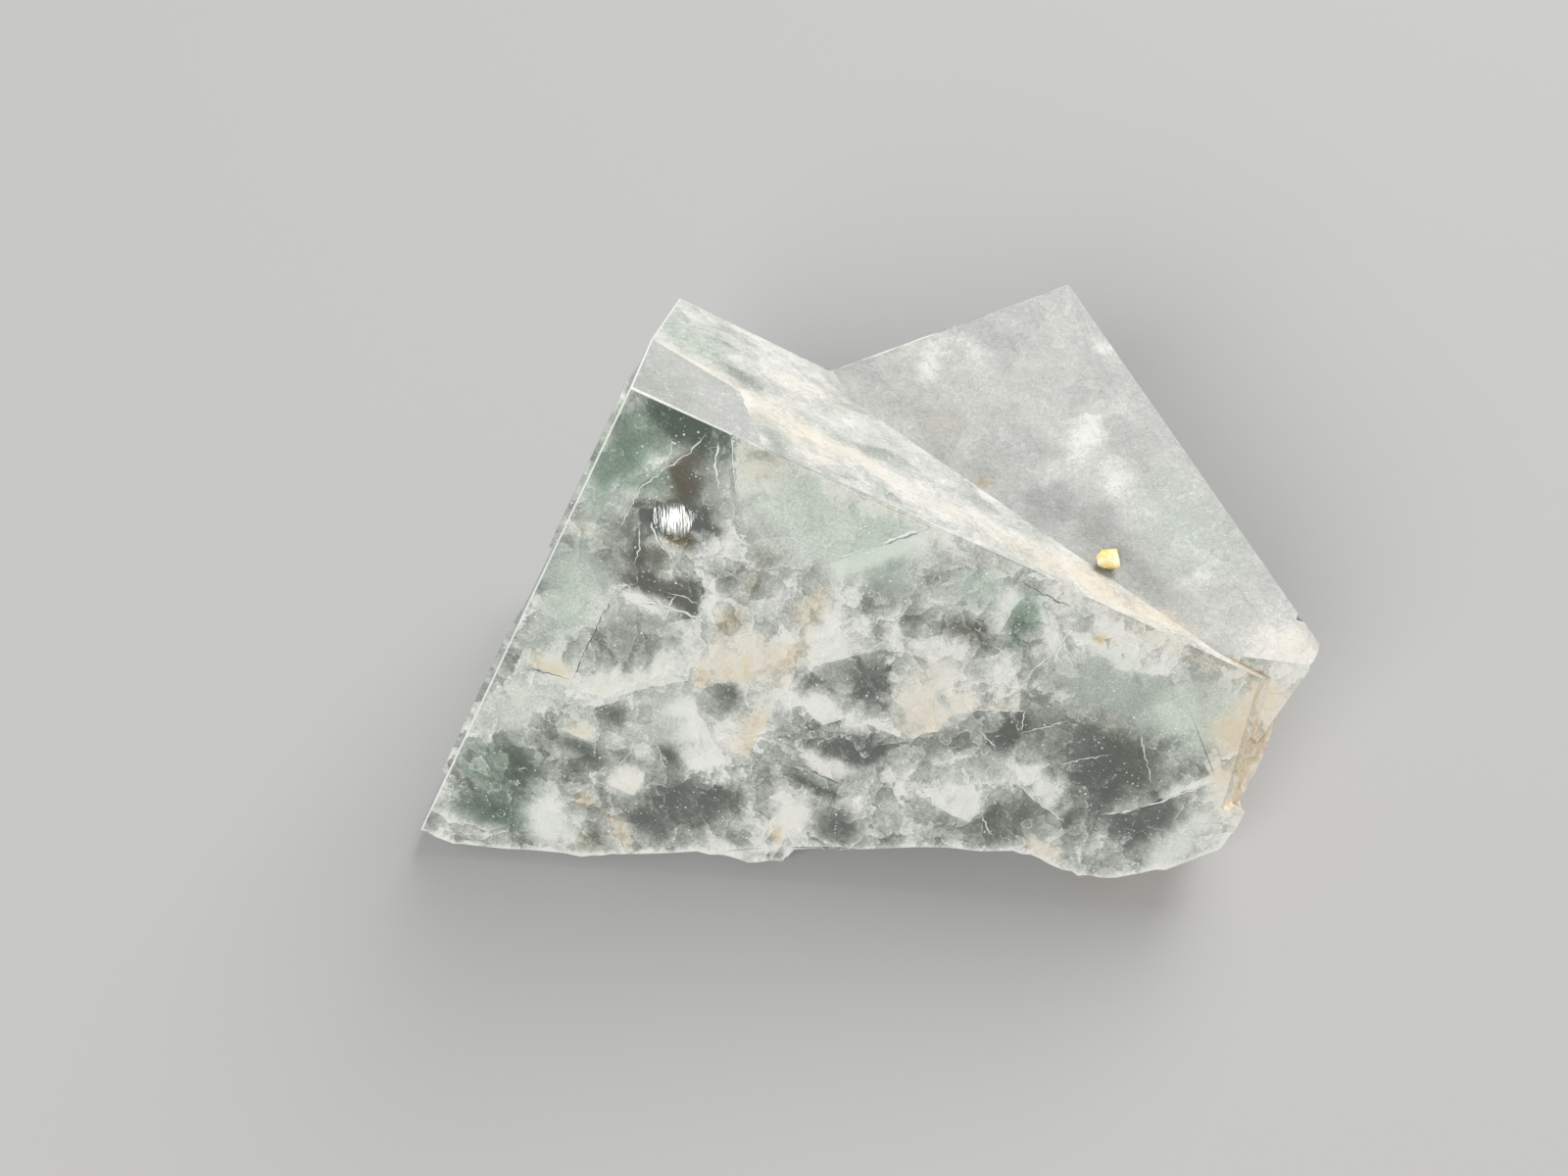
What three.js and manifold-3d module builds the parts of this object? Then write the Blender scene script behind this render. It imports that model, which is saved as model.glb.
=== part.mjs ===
import * as THREE from "three";
import { mergeVertices } from "three/addons/utils/BufferGeometryUtils.js";
import Module from "manifold-3d";

// Green-grey fluorite: a leaning cube grown through a lower, upright one, broken off below.
// Millimetres, +Z up. The origin is the middle of the footprint, on the surface it lies on.

// Leaning cube. Its own X runs along the top front edge, Y goes back, and Z is out of the top face.
const LEAN = 33.9;
const TURN = 4.5;
const ROLL = 23.4;
const LEANING_CORNER = [0.35, 0.4, 38.8];
const CUBE_DEPTH = 23.2;
// The front face as X and Z: a square corner at the top left, a broken right end and lower edge.
const FRONT_OUTLINE = [
  [0, 0],
  [59.6, 0],
  [61.3, -3.4],
  [62.4, -6.5],
  [62.8, -10.6],
  [63.3, -14],
  [63.1, -16.2],
  [60.2, -20.1],
  [56.9, -22.8],
  [53.8, -24.3],
  [50.8, -24.4],
  [47.5, -24.7],
  [42.1, -27.5],
  [37.2, -30],
  [30.5, -33.8],
  [30.1, -35.4],
  [27.5, -37],
  [22.9, -38.1],
  [17.1, -41.6],
  [14, -43.6],
  [7.6, -46.1],
  [3.1, -47.9],
  [0, -47.9],
];
// Flat facets, each through three points of the leaning cube. The first is the smooth bevel along
// the top front edge, widest at the left; the second turns the left side in towards the back.
const FACETS = [
  [
    [0, 0, -0.8],
    [38, 0, 0],
    [0, 10, 0],
  ],
  [
    [0, 10, 0],
    [0.9, 23.2, 0],
    [0, 10, -20],
  ],
];

// Upright cube. Its own X and Y run along its sides, and its top back right corner is its zero.
const UPRIGHT_TILT_X = 0.65;
const UPRIGHT_TILT_Y = 2.97;
const UPRIGHT_TURN = 25.9;
const UPRIGHT_CORNER = [38.65, 24.2, 21.6];
const UPRIGHT_WIDTH = 24.7;
const UPRIGHT_LENGTH = 46;
const UPRIGHT_HEIGHT = 30;
const FRONT_SETBACK = 1;

// Rough breaks: a point on the broken face, the way it faces, its width, its cell and its relief.
const LEANING_BREAKS = [
  // The right end, undercut above the upright cube.
  { at: [50, -12, 6], facing: [0.907, 0.254, -0.336], width: 54, cell: 1.9, relief: 1.6, seed: 3 },
  // The stained patch at the right end of the front face.
  { at: [50.5, -19.3, 15.4], facing: [0.586, -0.717, 0.378], width: 14, cell: 1, relief: 0.7, seed: 8 },
  // The foot of the left side.
  { at: [-17, -6, 0.5], facing: [-0.72, 0.1, -0.68], width: 44, cell: 2.1, relief: 1.6, seed: 12 },
];
const UPRIGHT_BREAKS = [
  // The front end.
  { at: [54.6, -16.6, 17.4], facing: [0.906, -0.249, -0.342], width: 50, cell: 1.9, relief: 1.1, seed: 5 },
  // The feet in front, on the right, at the back right and at the back left.
  { at: [42, -21.4, 0], facing: [0.1, -0.72, -0.69], width: 40, cell: 2, relief: 1, seed: 17 },
  { at: [45.4, 5.1, 0], facing: [0.84, 0.4, -0.36], width: 50, cell: 2, relief: 1.5, seed: 31 },
  { at: [28.4, 16.9, 0], facing: [-0.4, 0.84, -0.36], width: 40, cell: 2, relief: 1.4, seed: 26 },
  { at: [14, 17.5, 1], facing: [-0.5, 0.5, -0.7], width: 16, cell: 1.8, relief: 1.2, seed: 21 },
];
// A break is terraces, three levels high and a few cells across, with a finer unevenness on them.
const TERRACE_CELLS = 3.2;
const TERRACE_LEVELS = 3;
const TERRACE_UNEVEN = 0.35;
const CELL_SHIFT = 0.6;

// Cleavage chips as X, Y, Z and radius in a crystal's own frame.
const LEANING_CHIPS = [
  [1.6, 3.4, -48.8, 2.6],
  [5.4, 1.2, -49.2, 2.3],
  [11, 1, -47.4, 2.6],
  [20, 1, -42, 2.4],
  [25.4, 1.2, -39.4, 2],
  [34, 1.2, -34.2, 2.4],
  [39.8, 1, -31, 2],
  [45.2, 1.1, -28.2, 2.3],
  [52, 0.6, -26.4, 1.9],
  [58.6, 0.8, -24, 2.2],
  [62.4, 0.4, -19.4, 1.6],
  [64, 0.2, -11.6, 1.4],
  [61.8, -0.4, -4.6, 1.1],
  [44.6, -0.6, -2.9, 1.3],
  [46.2, -0.7, -3.4, 1.1],
  [1.6, 23.6, -8, 1.3],
  [1.2, 23.8, -21, 2.2],
  [9.5, 24, 0.3, 1.2],
  [-0.4, 9, -45.5, 1.8],
];
const UPRIGHT_CHIPS = [
  [-1.6, -43.2, 0.9, 1.7],
  [-0.1, -38.9, 0.8, 1.2],
  [0.4, -23.4, 0.5, 0.9],
  [0.5, -9.4, 0.4, 0.9],
  [-24.9, 0.6, -12, 2],
];

// Growth plates: low square steps on the faces, as the corner and the size of each in its frame.
const LEANING_PLATES = [
  { at: [-0.5, 1, -42], size: [0.7, 13, 15] },
  { at: [-0.9, 2.4, -38.4], size: [1.1, 7, 7.4] },
  { at: [-0.4, 0.8, -17], size: [0.6, 19, 14.8] },
  { at: [4, 21.8, -19], size: [16, 2, 13] },
  { at: [7, 21.8, -16.4], size: [9, 2.6, 8] },
  { at: [19, 21.8, -30], size: [13, 1.9, 16] },
];
const UPRIGHT_PLATES = [
  { at: [-1, -20, -15], size: [1.5, 15, 12.6] },
  { at: [-1, -31, -12], size: [1.8, 8, 9.4] },
  { at: [-17, -1, -14], size: [13, 1.6, 12.4] },
];
// Thin cleaved flakes that stand on the front face, as X and Z outlines.
const FLAKE_RISE = 0.3;
const FRONT_FLAKES = [
  [
    [8.8, -0.6],
    [26.4, -0.6],
    [20.2, -7.6],
    [10.8, -4.4],
  ],
  [
    [40.5, -13.4],
    [52.6, -4.6],
    [58.4, -9.6],
    [54, -16.6],
    [46, -19.4],
  ],
];

// The broken base: flat round its middle, and stepped up out of the way towards its edges.
const BASE_MIDDLE = [20, -6];
const BASE_FLAT_RADIUS = 13;
const BASE_REACH = 96;
const BASE_CELL = 3.2;
const BASE_RELIEF = 1.7;
const BASE_SEED = 41;

// The yellow grain in the crevice, and the gap round it.
const GRAIN_AT = [-12.3, -27.6, 0.75];
const GRAIN_SIZE = [1.15, 0.95, 0.9];
const GRAIN_LUMPS = [0.82, 1.18];
const GRAIN_GAP = 0.3;

const wasm = await Module();
wasm.setup();

const radians = THREE.MathUtils.degToRad;
const lerp = THREE.MathUtils.lerp;

// The leaning cube is rolled in its own front face, leant back, then turned.
const leaningFrame = new THREE.Matrix4()
  .makeRotationFromEuler(new THREE.Euler(-radians(LEAN), radians(ROLL), -radians(TURN), "ZXY"))
  .setPosition(...LEANING_CORNER);

const uprightFrame = new THREE.Matrix4()
  .makeRotationFromEuler(
    new THREE.Euler(radians(UPRIGHT_TILT_X), radians(UPRIGHT_TILT_Y), radians(UPRIGHT_TURN), "XYZ"),
  )
  .setPosition(...UPRIGHT_CORNER);

// A closed three.js geometry as a solid.
function solid(geometry, matrix = new THREE.Matrix4()) {
  const bare = geometry.clone().applyMatrix4(matrix);
  bare.deleteAttribute("normal");
  bare.deleteAttribute("uv");
  const merged = mergeVertices(bare, 1e-4);
  const vertProperties = new Float32Array(merged.attributes.position.array);
  const triVerts = new Uint32Array(merged.index.array);
  return new wasm.Manifold(new wasm.Mesh({ numProp: 3, vertProperties, triVerts }));
}

// A solid as a three.js geometry.
function geometryOf(body) {
  const mesh = body.getMesh();
  const geometry = new THREE.BufferGeometry();
  geometry.setAttribute("position", new THREE.BufferAttribute(mesh.vertProperties, 3));
  geometry.setIndex(new THREE.BufferAttribute(mesh.triVerts, 1));
  return geometry;
}

// A repeatable value from 0 to 1 for each pair of whole numbers.
function hash(i, j, seed) {
  const wave = Math.sin(i * 127.1 + j * 311.7 + seed * 74.7) * 43758.5453;
  return wave - Math.floor(wave);
}

function smoothNoise(x, y, seed) {
  const i = Math.floor(x);
  const j = Math.floor(y);
  const u = THREE.MathUtils.smoothstep(x - i, 0, 1);
  const v = THREE.MathUtils.smoothstep(y - j, 0, 1);
  const near = lerp(hash(i, j, seed), hash(i + 1, j, seed), u);
  const far = lerp(hash(i, j + 1, seed), hash(i + 1, j + 1, seed), u);
  return lerp(near, far, v);
}

// The height of a cleaved break, from -0.5 to about 0.6.
function breakHeight(i, j, seed) {
  const level = smoothNoise(i / TERRACE_CELLS, j / TERRACE_CELLS, seed) * TERRACE_LEVELS;
  const uneven = hash(i, j, seed + 1) * TERRACE_UNEVEN;
  return (Math.round(level) + uneven) / TERRACE_LEVELS - 0.5;
}

// A block that removes what lies beyond a rough plane through a point.
function roughCutter({ at, facing, width, cell, relief, seed }) {
  const cells = Math.round(width / cell);
  const block = new THREE.BoxGeometry(width, width, width, cells, cells, 1).translate(0, 0, width / 2);
  const position = block.attributes.position;
  for (let n = 0; n < position.count; n += 1) {
    const i = Math.round((position.getX(n) / width + 0.5) * cells);
    const j = Math.round((position.getY(n) / width + 0.5) * cells);
    if (position.getZ(n) < width / 2) {
      position.setX(n, position.getX(n) + (hash(i, j, seed + 2) - 0.5) * cell * CELL_SHIFT);
      position.setY(n, position.getY(n) + (hash(i, j, seed + 3) - 0.5) * cell * CELL_SHIFT);
      position.setZ(n, breakHeight(i, j, seed) * relief);
    }
  }
  return solid(block, planeFrame(new THREE.Vector3(...at), new THREE.Vector3(...facing)));
}

// A frame at a point with its Z along a direction.
function planeFrame(at, facing) {
  const up = new THREE.Vector3(0, 0, 1);
  const turn = new THREE.Quaternion().setFromUnitVectors(up, facing.clone().normalize());
  return new THREE.Matrix4().compose(at, turn, new THREE.Vector3(1, 1, 1));
}

// A block that leaves a flat facet through three points.
function facetCutter(points) {
  const corners = points.map((point) => new THREE.Vector3(...point).applyMatrix4(leaningFrame));
  const [first, second, third] = corners;
  const facing = second.clone().sub(first).cross(third.clone().sub(first));
  const block = new THREE.BoxGeometry(160, 160, 40).translate(0, 0, 20);
  return solid(block, planeFrame(first, facing));
}

// An outline in the front face's X and Z, drawn out along Y from one depth to another.
function frontSlab(outline, from, to) {
  const shape = new THREE.Shape(outline.map(([x, z]) => new THREE.Vector2(x, z)));
  const slab = new THREE.ExtrudeGeometry(shape, { depth: to - from, bevelEnabled: false });
  slab.rotateX(Math.PI / 2).translate(0, to, 0);
  return solid(slab, leaningFrame);
}

function plate({ at, size }, frame) {
  const block = new THREE.BoxGeometry(...size);
  block.translate(...at.map((start, axis) => start + size[axis] / 2));
  return solid(block, frame);
}

// An octahedron has the four cleavage directions, so its bite leaves cleavage faces.
function chip([x, y, z, radius], frame) {
  return solid(new THREE.OctahedronGeometry(radius).translate(x, y, z), frame);
}

function joined(body, pieces) {
  return pieces.reduce((sum, piece) => sum.add(piece), body);
}

function cutBy(body, pieces) {
  return pieces.reduce((rest, piece) => rest.subtract(piece), body);
}

function leaningCube() {
  const flakes = FRONT_FLAKES.map((outline) => frontSlab(outline, -FLAKE_RISE, 1));
  const plates = LEANING_PLATES.map((step) => plate(step, leaningFrame));
  const chips = LEANING_CHIPS.map((bite) => chip(bite, leaningFrame));
  const whole = joined(frontSlab(FRONT_OUTLINE, 0, CUBE_DEPTH), [...flakes, ...plates]);
  const breaks = LEANING_BREAKS.map(roughCutter);
  return cutBy(whole, [...FACETS.map(facetCutter), ...breaks, ...chips]);
}

function uprightCube() {
  const block = new THREE.BoxGeometry(UPRIGHT_WIDTH, UPRIGHT_LENGTH, UPRIGHT_HEIGHT);
  block.translate(-UPRIGHT_WIDTH / 2, -UPRIGHT_LENGTH / 2, -UPRIGHT_HEIGHT / 2);
  const plates = UPRIGHT_PLATES.map((step) => plate(step, uprightFrame));
  const chips = UPRIGHT_CHIPS.map((bite) => chip(bite, uprightFrame));
  const ahead = new THREE.BoxGeometry(200, 100, 200).translate(0, FRONT_SETBACK - 50, 0);
  const whole = joined(solid(block, uprightFrame), plates);
  const breaks = UPRIGHT_BREAKS.map(roughCutter);
  return cutBy(whole, [solid(ahead, leaningFrame), ...breaks, ...chips]);
}

// A block that removes what lies below the surface that the base rests on.
function baseCutter() {
  const cells = Math.round(BASE_REACH / BASE_CELL);
  const block = new THREE.BoxGeometry(BASE_REACH, BASE_REACH, 50, cells, cells, 1).translate(0, 0, -25);
  const position = block.attributes.position;
  for (let n = 0; n < position.count; n += 1) {
    const i = Math.round(position.getX(n) / BASE_CELL);
    const j = Math.round(position.getY(n) / BASE_CELL);
    if (position.getZ(n) > -25) {
      const out = Math.hypot(position.getX(n), position.getY(n));
      const rise = THREE.MathUtils.smoothstep(out, BASE_FLAT_RADIUS, 2 * BASE_FLAT_RADIUS);
      position.setZ(n, Math.max(0, breakHeight(i, j, BASE_SEED)) * rise * BASE_RELIEF);
    }
  }
  return solid(block.translate(...BASE_MIDDLE, 0));
}

// An uneven little lump, or the pocket that holds it when it is grown by the gap.
function grainGeometry(grow) {
  const ball = new THREE.IcosahedronGeometry(1, 1);
  const position = ball.attributes.position;
  const point = new THREE.Vector3();
  for (let n = 0; n < position.count; n += 1) {
    point.fromBufferAttribute(position, n);
    const lump = hash(Math.round(point.x * 7), Math.round(point.y * 7 + point.z * 31), 4);
    const bump = lerp(...GRAIN_LUMPS, lump);
    point.multiplyScalar(bump).multiply(new THREE.Vector3(...GRAIN_SIZE));
    point.setLength(point.length() + grow);
    position.setXYZ(n, point.x, point.y, point.z);
  }
  return ball.translate(...GRAIN_AT).applyMatrix4(uprightFrame);
}

const cutters = [baseCutter(), solid(grainGeometry(GRAIN_GAP))];
const crystals = cutBy(uprightCube().add(leaningCube()), cutters);
const pieces = [
  ["fluorite_crystals", geometryOf(crystals), { color: "#8f9c93", roughness: 0.3, metalness: 0 }],
  ["yellow_grain", grainGeometry(0), { color: "#e8c860", roughness: 0.6, metalness: 0 }],
];

// The finished piece is moved so that the middle of its footprint is the origin.
const middle = new THREE.Vector3();
pieces[0][1].computeBoundingBox();
pieces[0][1].boundingBox.getCenter(middle);

const group = new THREE.Group();
for (const [name, geometry, finish] of pieces) {
  const mesh = new THREE.Mesh(geometry, new THREE.MeshStandardMaterial(finish));
  mesh.name = name;
  mesh.position.set(-middle.x, -middle.y, 0);
  group.add(mesh);
}

export default group;
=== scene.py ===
"""Green-grey fluorite: a leaning cube grown through a lower, upright one. Metres, +Z up."""

import math
import random
from collections import Counter

import bpy
import numpy as np
from mathutils import Matrix, Quaternion, Vector, noise


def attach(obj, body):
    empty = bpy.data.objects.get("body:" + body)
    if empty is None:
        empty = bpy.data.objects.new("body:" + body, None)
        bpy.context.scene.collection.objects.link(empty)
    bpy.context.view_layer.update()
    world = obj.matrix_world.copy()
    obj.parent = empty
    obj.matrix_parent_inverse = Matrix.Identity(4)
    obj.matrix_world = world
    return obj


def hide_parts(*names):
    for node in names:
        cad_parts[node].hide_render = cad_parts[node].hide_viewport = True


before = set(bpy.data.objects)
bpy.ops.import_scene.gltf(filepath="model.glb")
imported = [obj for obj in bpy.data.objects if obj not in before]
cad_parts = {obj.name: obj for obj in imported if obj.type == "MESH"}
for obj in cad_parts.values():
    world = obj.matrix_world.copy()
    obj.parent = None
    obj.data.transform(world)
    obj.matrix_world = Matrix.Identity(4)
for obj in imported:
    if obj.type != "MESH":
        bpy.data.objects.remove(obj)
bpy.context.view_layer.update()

MM = 0.001
chance = random.Random(5)
# Unseeded, Blender's noise starts from the clock.
noise.seed_set(5)


def crystal_frame(corner, *turns):
    """The frame of a cube in mm: its corner, and its turns as degrees and an axis."""
    made = Matrix.Translation(corner)
    for degrees, axis in turns:
        made = made @ Matrix.Rotation(math.radians(degrees), 4, axis)
    return made


# X along the top front edge, Y back from the front face, Z out of the top face.
LEANING = crystal_frame((-17.8, 1.812, 38.8), (-4.5, "Z"), (-33.9, "X"), (23.4, "Y"))
# X and Y along the sides, from the top back right corner, and Z out of the top face.
UPRIGHT = crystal_frame((20.501, 25.612, 21.6), (0.65, "X"), (2.97, "Y"), (25.9, "Z"))


# Shared helpers


def linear(text):
    """An sRGB hex colour as linear RGBA."""
    values = [int(text[i : i + 2], 16) / 255 for i in (1, 3, 5)]
    return [c / 12.92 if c <= 0.04045 else ((c + 0.055) / 1.055) ** 2.4 for c in values] + [1.0]


def add(tree, kind, inputs=None, **settings):
    """Adds a node with its settings, and its inputs as values or linked from nodes or sockets."""
    made = tree.nodes.new("ShaderNode" + kind)
    for name, value in settings.items():
        setattr(made, name, value)
    for key, value in (inputs or {}).items():
        if isinstance(value, bpy.types.Node):
            value = next(socket for socket in value.outputs if socket.enabled)
        if isinstance(value, bpy.types.NodeSocket):
            tree.links.new(value, made.inputs[key])
        else:
            made.inputs[key].default_value = value
    return made


def weighted_sum(tree, start, terms):
    """start plus each value times its weight."""
    total = start
    for value, weight in terms:
        total = add(tree, "Math", {0: value, 1: weight, 2: total}, operation="MULTIPLY_ADD")
    return total


def blank_material(name):
    material = bpy.data.materials.new(name)
    material.use_nodes = True
    tree = material.node_tree
    tree.nodes.clear()
    return material, tree


def make_active(made):
    bpy.ops.object.select_all(action="DESELECT")
    made.select_set(True)
    bpy.context.view_layer.objects.active = made


# Materials

FLUORITE_IOR = 1.434
ABSORBED = (0.42, 0.46, 0.41, 1.0)
ABSORPTION = 16
# The way that the veils' crisp edges face on the front face, and their spacing in mm.
VEIL_DOWN = (0.7, 0.0, -0.7)
VEIL_SPACING = 9.0
FINE_VEIL_ACROSS = (0.85, 0.3, 0.5)
FINE_VEIL_SPACING = 4.5


def mm_in_crystal(tree, crystal, streak):
    """A shading point in mm in a crystal's own frame, drawn out along X by the streak."""
    back = crystal.inverted()
    place = add(
        tree,
        "Mapping",
        {
            "Vector": add(tree, "TexCoord").outputs["Object"],
            "Location": back.to_translation(),
            "Rotation": back.to_euler(),
            "Scale": (1000, 1000, 1000),
        },
    )
    return add(tree, "Mapping", {"Vector": place, "Scale": (1 / streak, 1, 1)})


def veils(tree, place, direction, spacing, shifts):
    """Veils that brighten along a direction and end in a crisp, jagged edge."""
    along = add(tree, "VectorMath", {0: place, 1: direction}, operation="DOT_PRODUCT").outputs["Value"]
    saw = weighted_sum(tree, 0.0, [(along, 1 / spacing)] + shifts)
    return add(tree, "Math", {0: saw}, operation="FRACT")


def fine_scratches(tree, place, turn, length, width):
    """Short fine lines, all about one way."""
    inputs = {"Vector": place, "Rotation": (0.3, turn, 0.2), "Scale": (1 / length, 1 / width, 1 / width)}
    stretched = add(tree, "Mapping", inputs)
    lines = add(tree, "TexNoise", {"Vector": stretched, "Scale": 1.0, "Detail": 1})
    return add(tree, "MapRange", {0: lines, 1: 0.69, 2: 0.75, 4: 0.25}, interpolation_type="SMOOTHSTEP")


def fluorite(name, crystal, milk, contrast, crisp, frost, shades, clearest, marks, streak=1.0, lull=0.0):
    """Clear grey-green windows between milky clouds, veils with crisp edges, specks and scratches.

    milk is how cloudy the face is, contrast how much that varies, crisp the share of sharp edges,
    frost its roughness, clearest how see-through a window gets, marks the specks and scratches, and
    lull how much of it is broad, calm, greener areas.
    """
    material, tree = blank_material(name)
    place = mm_in_crystal(tree, crystal, streak)
    field = {key: add(tree, "Attribute", attribute_name=key).outputs["Fac"] for key in FIELDS}

    clouds = add(tree, "TexNoise", {"Vector": place, "Scale": 1 / 7, "Detail": 6, "Roughness": 0.58})
    mottle = add(tree, "TexNoise", {"Vector": place, "Scale": 1 / 1.5, "Detail": 5, "Roughness": 0.66})
    grit = add(tree, "TexNoise", {"Vector": place, "Scale": 1 / 0.45, "Detail": 2, "Roughness": 0.7})
    dust = add(tree, "TexNoise", {"Vector": place, "Scale": 1 / 0.2, "Detail": 1})
    swayed = add(
        tree,
        "VectorMath",
        {0: mottle.outputs["Color"], 1: (1.2, 1.2, 1.2), 2: place},
        operation="MULTIPLY_ADD",
    )
    plates = add(tree, "TexVoronoi", {"Vector": swayed, "Scale": 1 / 5}, distance="MANHATTAN")
    plate = add(tree, "SeparateColor", {0: plates.outputs["Color"]}).outputs[0]
    shards = add(tree, "TexVoronoi", {"Vector": swayed, "Scale": 1 / 1.7}, distance="MANHATTAN")
    shard = add(tree, "SeparateColor", {0: shards.outputs["Color"]}).outputs[1]
    jagged = [(plate, 0.3), (shard, 0.16), (mottle, 0.2)]
    wide = veils(tree, place, VEIL_DOWN, VEIL_SPACING, jagged + [(clouds, 1.5)])
    fine = veils(tree, place, FINE_VEIL_ACROSS, FINE_VEIL_SPACING, jagged + [(clouds, 2.4)])

    terms = [
        (clouds, 0.95),
        (mottle, 0.5),
        (grit, 0.62),
        (plate, 0.24 * crisp),
        (shard, 0.24 * crisp),
        (wide, 0.26 * crisp),
        (fine, 0.22 * crisp),
    ]
    pattern = weighted_sum(tree, -0.5 * sum(weight for _, weight in terms), terms)
    broad = add(tree, "TexNoise", {"Vector": swayed, "Scale": 1 / 12, "Detail": 2})
    lulled = add(tree, "MapRange", {0: broad, 1: 0.44, 2: 0.56, 4: lull}, interpolation_type="SMOOTHSTEP")
    calm = add(tree, "Math", {0: field["calm"], 1: lulled}, operation="ADD")
    green = weighted_sum(tree, 0.0, [(field["green"], 1.0), (lulled, 0.55)])
    depth = add(tree, "MapRange", {0: calm, 3: contrast, 4: contrast * 0.22})
    varied = add(tree, "Math", {0: pattern, 1: depth, 2: milk}, operation="MULTIPLY_ADD")
    windows = [(varied, 1.0), (field["milk"], 1.0), (dust, DUST), (broad, -1.0 * lull)]
    spotted = weighted_sum(tree, 0.5 * lull - 0.5 * DUST, windows)
    cloudy = add(tree, "MapRange", {0: spotted, 1: -0.05, 2: 1.15}, interpolation_type="SMOOTHSTEP")

    speck_cells = add(tree, "TexVoronoi", {"Vector": place, "Scale": 1 / 0.35})
    speck_chance = add(tree, "SeparateColor", {0: speck_cells.outputs["Color"]}).outputs[2]
    speck_size = add(tree, "MapRange", {0: speck_chance, 1: 0.3, 4: 0.3})
    specks = add(tree, "Math", {0: speck_cells, 1: speck_size}, operation="LESS_THAN")
    speck_share = add(tree, "MapRange", {0: mottle, 1: 0.4, 2: 0.6, 4: 0.85})
    specks = add(tree, "Math", {0: specks, 1: speck_share}, operation="MULTIPLY")
    one_way = fine_scratches(tree, place, 0.6, 1.6, 0.12)
    other_way = fine_scratches(tree, place, -0.9, 1.2, 0.1)
    lines = add(tree, "Math", {0: one_way, 1: other_way}, operation="MAXIMUM")
    part = add(tree, "SeparateColor", {0: mottle.outputs["Color"]})
    for veil, share in ((wide, part.outputs[0]), (fine, part.outputs[1])):
        thin = add(tree, "MapRange", {0: veil, 1: 0.93})
        shown = add(tree, "MapRange", {0: share, 1: 0.48, 2: 0.6, 4: 0.8})
        crackle = add(tree, "Math", {0: thin, 1: shown}, operation="MULTIPLY")
        lines = add(tree, "Math", {0: lines, 1: crackle}, operation="MAXIMUM")
    arcs = add(tree, "TexVoronoi", {"Vector": swayed, "Scale": 1 / 1.3})
    arc_chance = add(tree, "SeparateColor", {0: arcs.outputs["Color"]}).outputs[0]
    arc_size = add(tree, "MapRange", {0: arc_chance, 1: 0.3, 4: 0.45})
    arc = add(tree, "Math", {0: arcs, 1: arc_size, 2: 0.03}, operation="COMPARE")
    arc_shown = add(tree, "MapRange", {0: part.outputs[2], 1: 0.5, 2: 0.56, 4: 0.7})
    arc = add(tree, "Math", {0: arc, 1: arc_shown}, operation="MULTIPLY")
    lines = add(tree, "Math", {0: lines, 1: arc}, operation="MAXIMUM")
    quiet = add(tree, "MapRange", {0: calm, 3: 1.0, 4: 0.35})
    lines = add(tree, "Math", {0: lines, 1: quiet}, operation="MULTIPLY")
    white = add(tree, "Math", {0: specks, 1: lines}, operation="MAXIMUM")
    white = add(tree, "Math", {0: white, 1: marks}, operation="MULTIPLY")

    ramp = add(tree, "ValToRGB", {0: cloudy})
    stops = ramp.color_ramp.elements
    stops.remove(stops[1])
    stops[0].color = linear(shades[0])
    for n, shade in enumerate(shades[1:], 1):
        stops.new(n / (len(shades) - 1)).color = linear(shade)
    greened = add(
        tree, "Mix", {0: green, 6: ramp, 7: linear(GREEN_TINT)}, data_type="RGBA", blend_type="MULTIPLY"
    )
    stained = add(
        tree, "Mix", {0: field["tan"], 6: greened, 7: linear(TAN_TINT)}, data_type="RGBA", blend_type="MULTIPLY"
    )
    colour = add(tree, "Mix", {0: white, 6: stained, 7: linear("#F2F3EE")}, data_type="RGBA")

    opaque = add(tree, "Math", {0: cloudy, 1: white}, operation="MAXIMUM")
    see_through = add(tree, "MapRange", {0: opaque, 1: 0.0, 2: 0.85, 3: clearest, 4: 0.02})
    roughness = weighted_sum(tree, frost, [(opaque, 0.16), (mottle, 0.1)])
    relief = [(plate, 0.3), (shard, 0.2), (mottle, 0.5), (grit, 0.3), (dust, 0.25), (wide, 0.3), (white, 0.3)]
    strength = add(tree, "MapRange", {0: calm, 3: 0.85, 4: 0.25})
    height = weighted_sum(tree, 0.0, relief)
    bump = add(tree, "Bump", {"Height": height, "Strength": strength, "Distance": 0.14 * MM})
    surface = add(
        tree,
        "BsdfPrincipled",
        {
            "Base Color": colour,
            "Roughness": roughness,
            "IOR": FLUORITE_IOR,
            "Transmission Weight": see_through,
            "Normal": bump,
        },
    )
    absorption = add(tree, "VolumeAbsorption", {"Color": ABSORBED, "Density": ABSORPTION})
    add(tree, "OutputMaterial", {"Surface": surface, "Volume": absorption})
    return material


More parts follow.
